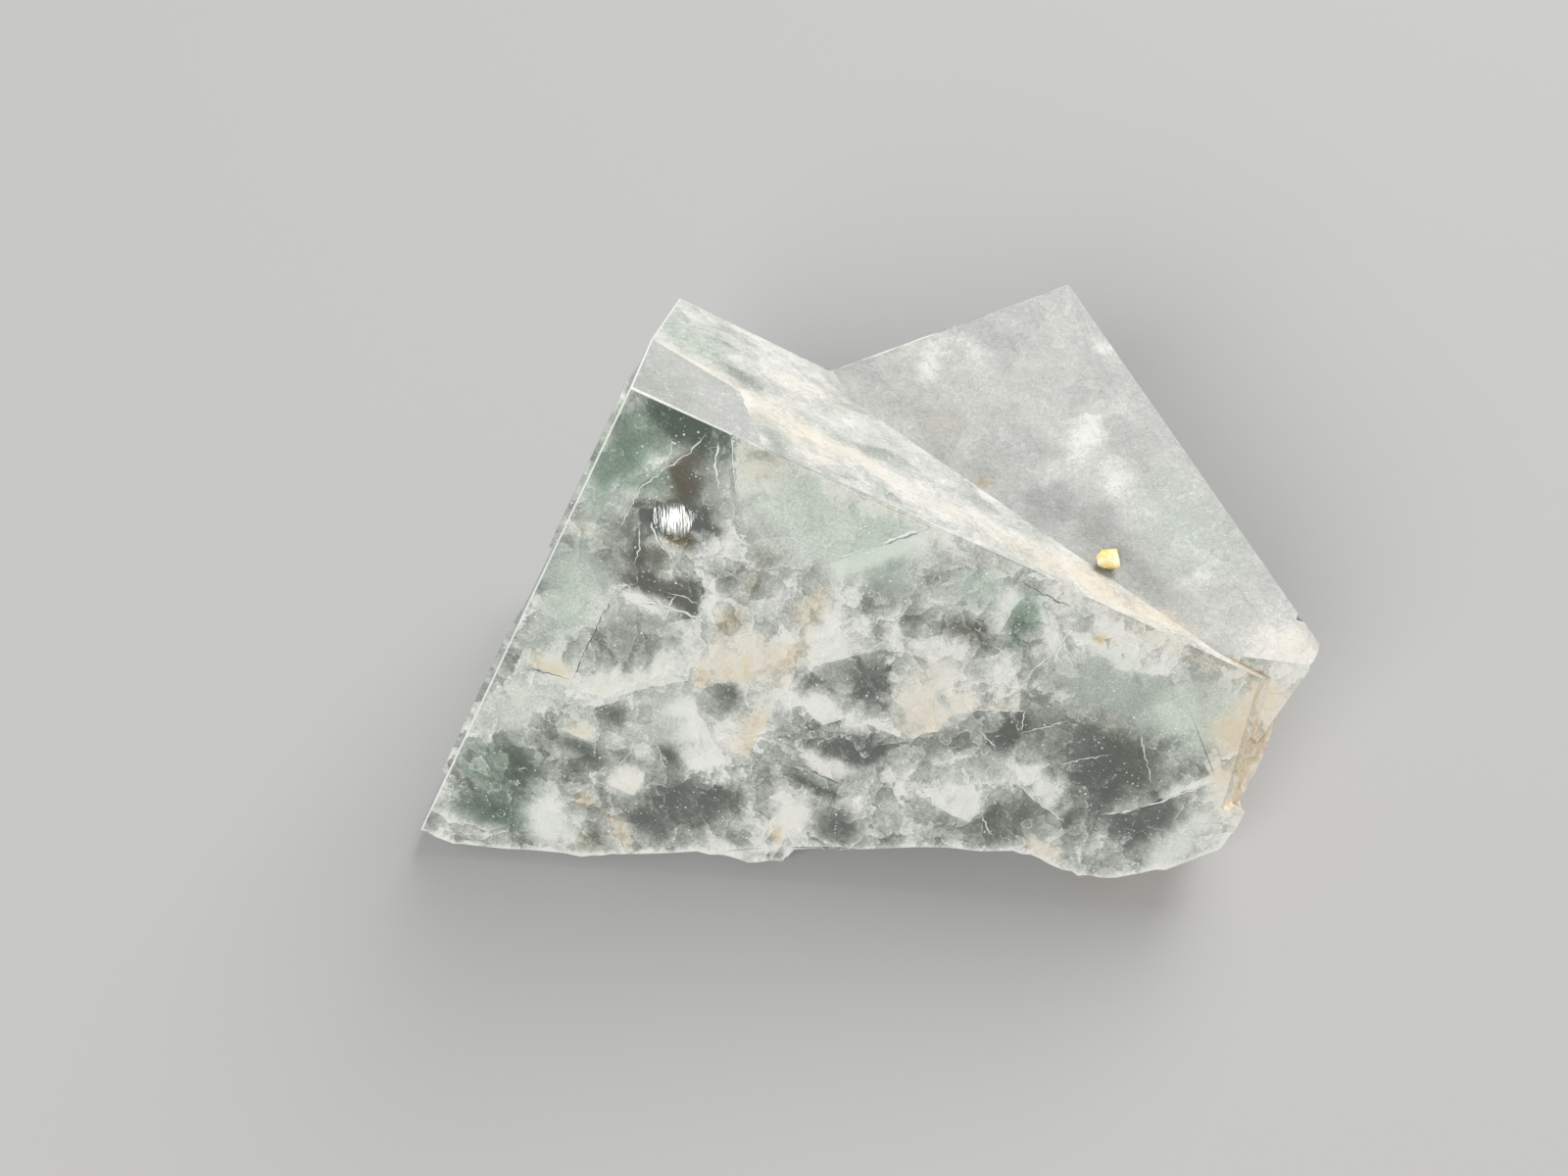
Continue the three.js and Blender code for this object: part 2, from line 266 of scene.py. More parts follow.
DUST = 0.36
GREEN_TINT = "#CDE8D6"
TAN_TINT = "#F5E0C3"
GREY_GREENS = ("#888B83", "#ADB2A9", "#C9CCC4", "#E9E9E1")
FROSTED = ("#979992", "#AFB0AA", "#C1C1BB", "#DFDED9")
CREAMS = ("#999F98", "#BEC2BA", "#D7D7D0", "#EEEBE3")
BEVEL = ("#929590", "#AAADA7", "#BCBDB7", "#D3D3CE")
STAINED = ("#C4AE8A", "#EAD4AF", "#F8E9CE", "#FCF8EE")
# Pale shades of rubbed edges, which also paint a highlight line along the top edge and light into shaded faces
# by the notch.
PALE_RUBBED_LIT = ("#C9CDC7", "#D8DBD6", "#E4E6E1", "#F0F1ED")
FIELDS = ("milk", "tan", "green", "calm")
FLUORITES = (
    ("grown_fluorite_face", LEANING, 0.67, 0.85, 1.3, 0.07, GREY_GREENS, 0.5, 1.0),
    ("frosted_fluorite_face", UPRIGHT, 0.6, 0.7, 0.35, 0.42, FROSTED, 0.3, 0.25),
    ("cream_fluorite_face", LEANING, 0.66, 1.0, 0.5, 0.3, CREAMS, 0.3, 1.0, 1.1),
    ("cleaved_fluorite", LEANING, 0.66, 0.75, 1.0, 0.16, GREY_GREENS, 0.6, 1.0, 1.0, 0.7),
    ("smooth_fluorite_bevel", LEANING, 0.7, 0.4, 0.2, 0.1, BEVEL, 0.3, 0.7),
    # Pale rubbed edges: partly real rubbing, partly a painted highlight and painted light.
    ("worn_fluorite_edge", LEANING, 0.8, 0.5, 0.5, 0.4, PALE_RUBBED_LIT, 0.1, 1.0),
    ("stained_fluorite", LEANING, 0.6, 1.1, 0.8, 0.35, STAINED, 0.3, 1.0),
)
FINISHES = {"front": 0, "upright_top": 1, "top": 2, "cleaved": 3, "end": 6, "bevel": 4, "worn": 5}


def broken_wall(name, colour, roughness, metallic=0.0):
    """The wall of a crack inside the crystal, which turns the light back."""
    material, tree = blank_material(name)
    inputs = {"Base Color": linear(colour), "Roughness": roughness, "Metallic": metallic}
    add(tree, "OutputMaterial", {"Surface": add(tree, "BsdfPrincipled", inputs)})
    return material


def yellow_mineral():
    """A dull, rough grain of a yellow mineral, orange-tan below, with pale patches painted as highlights."""
    material, tree = blank_material("rough_yellow_mineral")
    place = add(tree, "TexCoord").outputs["Object"]
    patches = add(tree, "TexNoise", {"Vector": place, "Scale": 900, "Detail": 4})
    # Pale patches at random: painted highlights.
    pale = add(tree, "MapRange", {0: patches, 1: 0.36, 2: 0.58})
    yellow = add(tree, "Mix", {0: pale, 6: linear("#F3D873"), 7: linear("#FFF9D2")}, data_type="RGBA")
    height = add(tree, "SeparateXYZ", {0: place}).outputs[2]
    low = add(tree, "MapRange", {0: height, 1: GRAIN_LOW * MM, 2: GRAIN_HIGH * MM, 3: 0.8, 4: 0.0})
    colour = add(tree, "Mix", {0: low, 6: yellow, 7: linear("#E3A55C")}, data_type="RGBA")
    bump = add(tree, "Bump", {"Height": patches, "Strength": 0.6, "Distance": 0.15 * MM})
    surface = add(tree, "BsdfPrincipled", {"Base Color": colour, "Roughness": 0.55, "Normal": bump})
    add(tree, "OutputMaterial", {"Surface": surface})
    return material


# Where the crystals are cloudy, clear, tan, green and calm

# Soft spots: X and down from the top in mm, the two radii, the turn in degrees, and the amounts of
# milk, tan, green and calm.
FRONT_SPOTS = [
    (22.0, 15.0, 13.0, 10.0, 0, 0.1, 0.0, 0.0, 0.0),
    (51.0, 14.0, 12.0, 8.0, 15, -0.25, 0.0, 0.0, 0.2),
    (9.0, 25.0, 7.0, 7.0, 0, -0.02, 0.0, 0.1, 0.2),
    (14.0, 35.0, 9.0, 5.0, -20, -0.24, 0.0, 0.0, 0.0),
    (60.0, 6.5, 2.8, 6.5, -15, 0.5, 0.7, 0.0, 0.0),
    (20.0, 0.5, 7.0, 0.9, 0, 0.3, 0.2, 0.0, 0.0),
    (34.0, 0.5, 8.0, 0.9, 0, 0.2, 0.1, 0.0, 0.0),
    (50.0, 0.5, 9.0, 0.9, 0, 0.3, 0.4, 0.0, 0.0),
    (6.4, 2.0, 3.6, 2.0, 0, -0.95, 0.0, 0.9, 1.0),
    (2.4, 5.4, 2.6, 3.8, 0, -0.32, 0.0, 1.0, 1.0),
    (2.0, 10.2, 2.2, 2.4, 0, 0.0, 0.0, 0.5, 1.0),
    (1.4, 13.6, 2.0, 0.9, 0, 0.4, 0.3, 0.0, 0.0),
    (7.0, 6.0, 1.5, 2.4, 8, -0.75, 0.9, 0.0, 1.0),
    (7.6, 9.3, 2.4, 1.9, 0, -1.6, 0.0, 0.0, 1.0),
    (9.6, 5.6, 1.2, 2.0, 0, -0.2, 0.0, 0.0, 0.8),
    (8.6, 11.2, 1.2, 0.7, 0, -0.7, 1.8, 0.0, 0.0),
    (6.6, 8.4, 1.4, 1.2, 0, 0.5, 0.0, 0.0, 0.0),
    (7.4, 13.7, 2.2, 1.2, -20, -0.5, 0.5, 0.2, 0.4),
    (5.6, 13.2, 0.8, 1.6, -25, -0.5, 0.0, 0.0, 0.4),
    (11.2, 15.5, 1.9, 1.6, 0, -1.7, 0.2, 0.0, 0.5),
    (8.4, 16.0, 2.2, 0.9, 0, -0.9, 0.3, 0.0, 0.0),
    (13.6, 12.0, 1.2, 0.8, 0, -0.5, 0.0, 0.0, 0.0),
    (12.6, 1.8, 2.4, 1.8, 20, 0.0, 0.4, 0.0, 0.5),
    (18.4, 4.2, 7.0, 4.0, 0, 0.15, 0.0, 0.4, 1.1),
    (25.0, 5.0, 4.0, 3.0, 0, 0.05, 0.0, 0.3, 0.9),
    (2.8, 19.6, 2.8, 5.6, 0, 0.1, 0.0, 0.4, 1.0),
    (9.0, 21.0, 3.0, 2.6, 0, -0.3, 0.0, 0.0, 0.4),
    (27.0, 8.2, 3.6, 2.6, 30, -0.35, 0.0, 0.0, 0.0),
    (24.8, 13.2, 2.6, 2.2, 40, 0.3, 0.0, 0.0, 0.6),
    (15.8, 11.0, 0.7, 3.0, 0, 0.0, 0.5, 0.0, 0.0),
    (15.9, 15.6, 0.9, 1.4, 0, 0.1, 0.9, 0.0, 0.0),
    (21.1, 11.5, 0.9, 2.6, 0, 0.1, 0.7, 0.0, 0.0),
    (18.6, 18.2, 3.4, 2.4, 0, 0.2, 0.35, 0.0, 0.6),
    (21.9, 16.4, 0.9, 2.0, 0, 0.2, 0.7, 0.0, 0.0),
    (28.0, 15.6, 3.4, 2.2, 20, -0.55, 0.0, 0.0, 0.0),
    (24.6, 18.0, 2.0, 1.4, 0, -0.4, 0.0, 0.0, 0.0),
    (30.0, 21.6, 3.0, 1.8, 0, -0.7, 0.0, 0.0, 0.0),
    (25.4, 22.8, 1.8, 1.8, 0, -0.5, 0.0, 0.0, 0.0),
    (19.2, 22.2, 1.7, 1.4, 0, -0.38, 0.0, 0.0, 0.0),
    (29.4, 24.2, 2.6, 1.0, 0, 0.35, 0.1, 0.0, 0.8),
    (29.0, 26.9, 2.0, 0.5, 0, -0.8, 0.0, 0.0, 0.0),
    (34.0, 7.4, 2.6, 0.9, 0, -0.45, 0.3, 0.0, 0.0),
    (37.3, 4.2, 1.2, 2.4, 0, -0.5, 0.0, 0.8, 0.4),
    (32.8, 3.2, 2.6, 2.0, 0, 0.0, 0.0, 0.5, 0.8),
    (45.6, 2.8, 3.2, 1.3, 5, 1.1, 0.1, 0.0, 0.0),
    (43.5, 3.1, 0.5, 0.35, 0, -0.9, 2.2, 0.0, 0.0),
    (48.0, 6.4, 6.0, 2.8, 0, 0.05, 0.0, 0.35, 1.1),
    (54.0, 5.0, 3.4, 3.4, 0, 0.2, 0.1, 0.3, 1.0),
    (33.6, 14.6, 2.4, 3.6, 0, 0.25, 0.4, 0.0, 0.5),
    (46.4, 13.0, 5.0, 3.0, -10, -0.45, 0.0, 0.1, 0.45),
    (52.2, 12.6, 3.4, 3.6, 0, -0.4, 0.0, 0.25, 0.55),
    (41.2, 14.4, 1.2, 1.8, 0, -0.9, 0.1, 0.0, 0.0),
    (55.6, 17.2, 2.0, 3.2, 40, -0.6, 0.0, 0.0, 0.6),
    (46.4, 17.0, 1.8, 1.8, 0, 0.26, 0.0, 0.0, 0.5),
    (60.0, 16.8, 2.6, 3.4, 30, 0.4, 0.0, 0.1, 1.0),
    (45.0, 22.0, 3.4, 2.0, -20, -0.6, 0.1, 0.0, 0.5),
    (40.8, 21.4, 1.9, 2.0, 0, 0.22, 0.0, 0.0, 0.6),
    (37.0, 17.4, 2.6, 3.0, 0, -0.15, 0.0, 0.0, 0.3),
    (49.6, 23.2, 1.8, 0.8, 0, 0.3, 0.7, 0.0, 0.0),
    (57.4, 4.4, 1.8, 2.4, 0, 0.15, 0.6, 0.0, 0.5),
    (60.2, 7.4, 1.4, 2.4, -10, 0.15, 0.6, 0.0, 0.0),
    (58.6, 1.0, 2.2, 1.4, 0, 0.3, 0.7, 0.0, 0.0),
    (47.6, 9.7, 1.2, 0.8, 0, 0.15, 0.4, 0.0, 0.0),
    (4.1, 26.8, 2.0, 0.8, 0, 0.2, 0.45, 0.0, 0.0),
    (8.4, 31.3, 1.5, 0.8, 0, 0.4, 0.4, 0.0, 0.0),
    (16.0, 26.6, 4.2, 3.0, 0, 0.1, 0.0, 0.1, 0.8),
    (10.7, 28.9, 1.5, 0.8, 0, -0.45, 0.0, 0.0, 0.0),
    (16.8, 30.2, 1.8, 0.9, 0, -0.6, 0.0, 0.0, 0.0),
    (19.4, 35.4, 3.8, 3.6, 0, -0.55, 0.0, 0.0, 0.3),
    (22.6, 33.4, 2.6, 2.6, 0, -0.55, 0.0, 0.0, 0.0),
    (9.8, 33.3, 2.4, 0.9, 0, -0.55, 0.0, 0.2, 0.5),
    (14.2, 34.0, 1.3, 1.4, 0, 0.6, 0.2, 0.0, 0.5),
    (28.4, 30.8, 1.2, 2.8, 0, 0.55, 0.1, 0.0, 0.4),
    (28.1, 33.0, 0.5, 0.9, 0, 0.0, 1.2, 0.0, 0.0),
    (32.2, 29.6, 1.6, 2.4, 0, -0.6, 0.0, 0.0, 0.5),
    (2.6, 31.6, 2.8, 2.6, 0, 0.15, 0.0, 0.2, 1.0),
    (4.4, 38.4, 3.0, 3.6, 0, -0.35, 0.0, 0.8, 0.3),
    (4.8, 43.2, 3.4, 1.6, -15, -0.6, 0.0, 0.8, 0.7),
    (9.6, 41.4, 2.8, 2.2, -20, 0.5, 0.0, 0.1, 0.9),
    (12.0, 37.9, 1.0, 0.9, 0, 0.2, 1.2, 0.0, 0.0),
    (16.2, 39.6, 2.6, 0.8, 35, 0.35, 0.9, 0.0, 0.0),
    (13.7, 42.0, 1.8, 1.0, -45, -0.4, 0.6, 0.0, 0.5),
    (26.0, 36.4, 1.6, 1.0, -20, 0.35, 0.0, 0.0, 0.5),
]
# On the top face, X and back: the cream band and what is behind it.
TOP_SPOTS = [
    (12.8, 2.4, 1.7, 5.0, 22, -0.4, 0.0, 0.0, 0.9),
    (1.0, 5.6, 3.0, 1.2, 0, -0.1, 0.0, 0.2, 0.0),
    (7.0, 8.0, 8.0, 2.6, -4, 0.3, 0.3, 0.0, 0.0),
    (16.0, 5.4, 6.0, 2.4, -8, 0.3, 0.4, 0.0, 0.0),
    (27.0, 4.0, 8.0, 2.0, -6, 0.15, 0.15, 0.0, 0.0),
    (45.0, 2.8, 12.0, 2.4, -4, 0.3, 0.7, 0.0, 0.0),
    (58.0, 2.0, 5.0, 3.0, 0, 0.2, 1.1, 0.0, 0.0),
    (14.0, 15.8, 5.0, 2.2, 0, 0.25, 0.25, 0.0, 0.0),
    (8.0, 11.4, 2.2, 1.4, 0, -0.4, 0.0, 0.0, 0.0),
    (3.0, 15.0, 5.0, 5.0, 0, 0.0, 0.0, 0.4, 0.0),
    (20.0, 8.6, 6.0, 1.6, 0, -0.2, 0.0, 0.2, 0.0),
]
BEVEL_SPOTS = [(2.0, 2.4, 3.4, 3.0, 0, 0.0, 0.0, 0.35, 0.0)]
# On the upright crystal's top face, X and Y.
UPRIGHT_SPOTS = [
    (-7.2, -15.6, 2.2, 1.6, 30, 0.5, 0.0, 0.0, 0.0),
    (-4.0, -14.2, 2.6, 1.0, 0, 0.3, 0.0, 0.0, 0.0),
    (-11.0, -17.4, 2.6, 1.2, 15, 0.25, 0.0, 0.0, 0.0),
    (-7.6, -20.2, 2.0, 1.4, 0, 0.3, 0.0, 0.0, 0.0),
    (-0.6, -8.0, 1.4, 1.0, 0, 0.4, 0.0, 0.0, 0.0),
    (-15.4, -2.4, 2.4, 1.0, 40, 0.35, 0.0, 0.0, 0.0),
    (-12.0, -3.6, 1.0, 2.0, 0, 0.3, 0.0, 0.0, 0.0),
    (-14.5, -20.5, 2.6, 2.6, 0, -0.35, 0.0, 0.0, 0.0),
    (-11.0, -25.5, 2.4, 3.6, 10, -0.35, 0.0, 0.0, 0.0),
    (-15.5, -14.5, 3.4, 2.0, 0, -0.2, 0.0, 0.0, 0.0),
    (-9.0, -31.5, 1.6, 3.4, 15, -0.25, 0.0, 0.0, 0.0),
    (-6.5, -32.4, 2.2, 0.7, 0, 0.3, 0.0, 0.0, 0.0),
    (-3.4, -27.0, 3.4, 5.0, 0, 0.05, 0.0, 0.4, 0.0),
    (-10.8, -34.2, 0.9, 3.0, 25, 0.3, 0.9, 0.0, 0.0),
    (-18.2, -16.2, 0.6, 0.5, 0, 0.0, 2.0, 0.0, 0.0),
    (-18.0, -9.0, 1.2, 0.8, 0, 0.1, 0.5, 0.0, 0.0),
    (-3.0, -41.0, 3.0, 2.4, 0, 0.4, 0.4, 0.0, 0.0),
]
# On the stained end, back and down from the top.
END_SPOTS = [(3.0, 8.0, 12.0, 11.0, 0, 0.2, 0.2, 0.0, 0.0)]

# Veils in the front face that end in a crisp edge and fade to the left of it, going along its
# places (X and down): the fade in mm, the amounts of milk and tan, and the places.
VEILS = [
    (1.3, 0.71, 0, [(26.2, 0.8), (24.6, 2.4), (23.0, 4.4), (20.6, 7.2)]),
    (2, 0.25, 0.6, [(22.7, 27.5), (22.5, 24.6), (22.8, 21.8)]),
    (2, 0.35, 0, [(27.2, 25.4), (31.2, 25.6)]),
    (2.2, 0.3, 0.2, [(36.0, 16.7), (36.3, 14.9), (38.6, 13.3), (41.6, 11.9)]),
    (2, 0.35, 0, [(43.0, 16.6), (44.4, 18.4), (46.8, 19.2), (50.0, 20.0)]),
    (1.2, 0.45, 0, [(52.4, 17.8), (55.4, 14.9), (59.0, 10.2)]),
    (2.4, 0.35, 0, [(39.2, 23.9), (42.6, 23.9), (43.0, 22.6), (41.0, 19.9)]),
    (1.2, 0.3, 0, [(8.8, 29.4), (9.9, 28.0), (11.0, 26.6)]),
    (1.2, 0.35, 0.2, [(7.3, 32.2), (10.4, 32.1)]),
    (1.6, 0.35, 0, [(12.6, 35.5), (15.6, 35.4), (15.6, 32.5)]),
    (1.2, 0.25, 0.4, [(2.0, 27.9), (6.2, 27.1)]),
    (1.6, 0.15, 0, [(6.1, 27.2), (6.1, 18.2)]),
    (1, 0.2, 0, [(6.2, 18.1), (10.6, 18.1)]),
    (1.6, 0.35, 0, [(36.0, 6.8), (35.8, 4.4), (36.2, 2.0)]),
    (2.6, 0.35, 0.1, [(8.7, 0.8), (10.2, 3.0), (11.7, 5.6)]),
    (1.2, 0.2, 0, [(4.1, 12.0), (4.2, 8.2), (5.2, 5.8), (7.0, 2.2)]),
    (1.5, 0.35, 0, [(11.4, 13.0), (12.6, 14.1), (13.2, 16.9), (11.2, 18.6)]),
    (0.8, 0.3, 0, [(8.4, 17.0), (6.4, 17.4)]),
    (1.8, 0.5, 0.1, [(7.0, 28.0), (9.0, 27.6), (10.9, 26.2), (12.6, 24.6), (14.7, 22.9)]),
    (2.8, 0.32, 0.4, [(14.7, 22.9), (16.6, 22.5), (18.2, 21.1), (20.2, 19.8)]),
    (2.2, 0.29, 0.3, [(20.2, 19.8), (21.8, 17.1), (22.4, 15.8)]),
    (3.2, 0.4, 0.0, [(22.4, 15.8), (24.0, 16.2), (25.7, 14.4), (28.0, 12.4), (30.0, 11.6)]),
    (1.8, 0.29, 0.0, [(30.0, 11.6), (32.4, 11.5), (33.8, 9.4)]),
    (1.5, 0.43, 0.0, [(23.7, 21.5), (24.6, 20.3), (27.0, 21.0), (28.4, 19.7), (30.7, 19.2), (34.0, 19.1)]),
    (2.4, 0.29, 0.3, [(34.0, 19.1), (36.5, 16.4)]),
    (2.6, 0.29, 0.0, [(23.2, 30.9), (20.5, 27.8), (17.9, 25.8), (15.8, 23.5)]),
]
# Each kind of face with spots: the crystal, its two axes with their signs, and the spots.
SPOTTED = {
    "front": (LEANING, (0, 1), (2, -1), FRONT_SPOTS),
    "upright_top": (UPRIGHT, (0, 1), (1, 1), UPRIGHT_SPOTS),
    "top": (LEANING, (0, 1), (1, 1), TOP_SPOTS),
    "bevel": (LEANING, (0, 1), (1, 1), BEVEL_SPOTS),
    "end": (LEANING, (1, 1), (2, -1), END_SPOTS),
}


def flat_places(places, kind):
    """Places in metres as two columns of mm on a kind of face."""
    crystal, *axes, _ = SPOTTED[kind]
    back = np.array(crystal.inverted())
    local = places / MM @ back[:3, :3].T + back[:3, 3]
    return np.stack([local[:, axis] * sign for axis, sign in axes], axis=1)


WARPS = ((5.0, 1.6), (1.9, 0.9), (0.9, 0.4))


def pushes(flat):
    """How flat places are pushed about: unevenly, in swirls and in small square steps."""
    pushed = np.zeros_like(flat)
    for row, (x, y) in enumerate(flat):
        for size, amount in WARPS:
            push = noise.noise_vector(Vector((x, y, size)) / size)
            pushed[row] += amount * np.array(push[:2])
        block = noise.cell_vector(Vector((x + y, x - y, 0)) / BLOCK)
        pushed[row] += BLOCK_PUSH * (np.array(block[:2]) - 0.5)
    return pushed


BLOCK = 2.2
BLOCK_PUSH = 1.2
MILK_LIMITS = (-0.64, 0.32)
UNEVEN = 2.5
SPOT_STRENGTH = np.array([0.8, 0.7, 0.85, 1.0])


def spot_fields(flat, spots):
    """The sum of soft spots at flat places: milk, tan, green and calm. Large spots are uneven."""
    total = np.zeros((len(flat), len(FIELDS)))
    push = pushes(flat)
    for x, y, across, along, turn, *amounts in spots:
        cosine, sine = math.cos(math.radians(turn)), math.sin(math.radians(turn))
        dx, dy = (flat + push * min(1, across / UNEVEN, along / UNEVEN) - (x, y)).T
        a, b = (dx * cosine + dy * sine) / across, (dy * cosine - dx * sine) / along
        total += np.exp(-((a * a + b * b) ** 1.5))[:, None] * np.array(amounts) * SPOT_STRENGTH
    return total


VEIL_STEP = 0.9
VEIL_JAG = 0.17
VEIL_END = 1.0


def jagged_line(places, step, jag):
    """Small uneven steps along a line of places."""
    ways = []
    for start, end in zip(places, places[1:]):
        steps = max(1, round((end - start).length / step))
        across = (end - start).orthogonal().normalized()
        for n in range(steps):
            ways.append(start.lerp(end, n / steps) + across * chance.uniform(-jag, jag))
    return ways + [places[-1]]


def veil_pieces():
    """The short straight pieces of the veils' edges: start, end, distances from the ends, and the rest."""
    pieces = []
    for fade, milk, tan, places in VEILS:
        ways = jagged_line([Vector(place) for place in places], VEIL_STEP, VEIL_JAG)
        lengths = [(end - start).length for start, end in zip(ways, ways[1:])]
        for n, (start, end) in enumerate(zip(ways, ways[1:])):
            before, after = sum(lengths[:n]), sum(lengths[n + 1 :])
            pieces.append((np.array(start), np.array(end), before, after, fade, np.array([milk, tan, 0, 0])))
    return pieces


def veil_fields(flat, middles, pieces):
    """The veils at flat places, on the side of each crisp edge that the face's middle is on."""
    total = np.zeros((len(flat), len(FIELDS)))
    for start, end, before, after, fade, amounts in pieces:
        length = np.hypot(*(end - start))
        way = (end - start) / length
        along = (flat - start) @ way
        left = np.array([way[1], -way[0]])
        inside = (middles - start) @ left > 0
        joined = np.clip(along / 0.4 + 0.5, 0, 1) * np.clip((length - along) / 0.4 + 0.5, 0, 1)
        to_end = np.minimum(before + along, after + length - along)
        away = np.maximum((flat - start) @ left, 0) / fade
        shown = inside * joined * np.clip(to_end / VEIL_END, 0, 1) * np.exp(-away * away)
        total += shown[:, None] * amounts
    return total


# The crystals

FRONT_GRID = 0.45
TOP_GRID = 1.0
BEVEL_GRID = 0.5
VEIL_REACH = 0.9
WORN_WIDTH = 0.16
WORN_LENGTH = 3.0
WORN_AREA = 8.0
# Rounded edges left of this X in mm keep the pale finish: rubbed, and a painted highlight line along the top
# edge.
RUBBED_HIGHLIGHT_END = 10.5
UNWORN = 50.0
BEVEL_FACES = (-0.021, -0.08, 0.997)
BEVEL_END = 11.5
BEVEL_SLANT = 0.4
# Faces above the top face left of this X in mm, in the shade between the two crystals, get the pale finish as
# painted light.
LIT_NOTCH_END = 19.0
RIM_STEP = 0.6
RIM_JAG = 0.3
# A bright rim of light painted along the broken bottom edge as added milk: its width in mm and its amount.
RIM_WIDTH = 0.3
RIM_PAINTED_LIGHT = 0.45
RIM_BELOW = -1.0
RIM_RIGHT = 0.3
PLATE_LOW = -0.005
ALIGNED = 0.995


def copy_of_node(node, name):
    """A merged copy of a CAD node's mesh as an object of its own."""
    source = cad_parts[node]
    made = bpy.data.objects.new(name, source.data.copy())
    bpy.context.collection.objects.link(made)
    make_active(made)
    made.data.materials.clear()
    if made.data.has_custom_normals:
        bpy.ops.mesh.customdata_custom_splitnormals_clear()
    bpy.ops.object.mode_set(mode="EDIT")
    bpy.ops.mesh.select_all(action="SELECT")
    bpy.ops.mesh.remove_doubles(threshold=0.002 * MM)
    bpy.ops.mesh.dissolve_limited(angle_limit=math.radians(0.4))
    bpy.ops.object.mode_set(mode="OBJECT")
    return made


def column(items, name, width):
    """One property of all of a mesh's items as rows of numbers."""
    values = np.empty(len(items) * width)
    items.foreach_get(name, values)
    return values.reshape(-1, width)


def cut_faces(made, wanted, place, direction):
    """Cuts the faces that pass a test with a plane."""
    made.data.polygons.foreach_set("select", wanted(made.data.polygons))
    bpy.ops.object.mode_set(mode="EDIT")
    bpy.ops.mesh.bisect(plane_co=place * MM, plane_no=direction)
    bpy.ops.object.mode_set(mode="OBJECT")


def cut_grid(made, crystal, facing, cuts, step):
    """Cuts the faces that look one way into squares: cuts are an axis and the span along it."""
    turn = crystal.to_3x3()
    normal = np.array(turn @ Vector(facing))
    for axis, low, high in cuts:
        direction = turn.col[axis].copy()
        for n in range(int(low / step), int(high / step) + 1):
            place = crystal.to_translation() + direction * n * step
            cut_faces(made, lambda faces: column(faces, "normal", 3) @ normal > ALIGNED, place, direction)


def cut_veil_edges(made, pieces):
    """Cuts the front face along the veils' crisp edges."""
    turn = LEANING.to_3x3()
    ahead = -np.array(turn.col[1])
    for start, end, *_ in pieces:

        def near(faces):
            flat = flat_places(column(faces, "center", 3), "front")
            share = np.clip((flat - start) @ (end - start) / np.sum((end - start) ** 2), 0, 1)
            gap = np.linalg.norm(flat - start - share[:, None] * (end - start), axis=1)
            return (gap < VEIL_REACH) & (column(faces, "normal", 3) @ ahead > ALIGNED)

        across = Vector((end[1] - start[1], 0, end[0] - start[0])).normalized()
        cut_faces(made, near, LEANING @ Vector((start[0], 0, -start[1])), turn @ across)


def wear_edges(made):
    """Rounds the long sharp edges a little, with the pale rubbed finish that also paints a highlight."""
    bpy.ops.object.mode_set(mode="EDIT")
    bpy.ops.mesh.select_mode(type="EDGE")
    bpy.ops.mesh.select_all(action="DESELECT")
    bpy.ops.mesh.edges_select_sharp(sharpness=math.radians(18))
    bpy.ops.object.mode_set(mode="OBJECT")
    mesh = made.data
    narrow = {key for face in mesh.polygons if face.area < WORN_AREA * MM**2 for key in face.edge_keys}
    for edge in mesh.edges:
        first, second = (mesh.vertices[n].co for n in edge.vertices)
        right = (LEANING.inverted() @ (first / MM)).x > UNWORN
        if (first - second).length < WORN_LENGTH * MM or edge.key in narrow or right:
            edge.select = False
    mesh.vertices.foreach_set("select", [False] * len(mesh.vertices))
    mesh.polygons.foreach_set("select", [False] * len(mesh.polygons))
    bpy.ops.object.mode_set(mode="EDIT")
    bpy.ops.mesh.bevel(
        offset=WORN_WIDTH * MM, segments=2, affect="EDGES", clamp_overlap=False, material=FINISHES["worn"]
    )
    bpy.ops.mesh.select_mode(type="FACE")
    bpy.ops.object.mode_set(mode="OBJECT")


def rim_keys(mesh):
    """The edges where the front face breaks off, and where it ends at the right."""
    back = LEANING.inverted()
    ahead = -LEANING.to_3x3().col[1]
    places = [back @ (vertex.co / MM) for vertex in mesh.vertices]
    front, raised = [], set()
    for face in mesh.polygons:
        if min(places[n].y for n in face.vertices) < PLATE_LOW:
            raised.update(face.edge_keys)
        elif face.normal.dot(ahead) > ALIGNED:
            front.extend(face.edge_keys)
    once = {key for key, count in Counter(front).items() if count == 1}
    return {
        key
        for key in once - raised
        if max(places[n].z for n in key) < RIM_BELOW and max(places[n].x for n in key) > RIM_RIGHT
    }


def break_rim(made):
    """Adds small uneven chips along the broken rim of the front face."""
    mesh = made.data
    keys = rim_keys(mesh)
    kept = set(range(len(mesh.vertices)))
    for items in (mesh.vertices, mesh.polygons):
        items.foreach_set("select", [False] * len(items))
    for edge in mesh.edges:
        first, second = (mesh.vertices[n].co for n in edge.vertices)
        edge.select = edge.key in keys and (first - second).length > RIM_STEP * MM
    bpy.ops.object.mode_set(mode="EDIT")
    bpy.ops.mesh.select_mode(type="EDGE")
    bpy.ops.mesh.subdivide(number_cuts=3)
    bpy.ops.mesh.select_mode(type="FACE")
    bpy.ops.object.mode_set(mode="OBJECT")
    inward = (LEANING.to_3x3() @ Vector((-0.4, 0, 1))).normalized()
    for vertex in mesh.vertices:
        if vertex.index not in kept:
            vertex.co += inward * chance.uniform(-0.4, 1) * RIM_JAG * MM


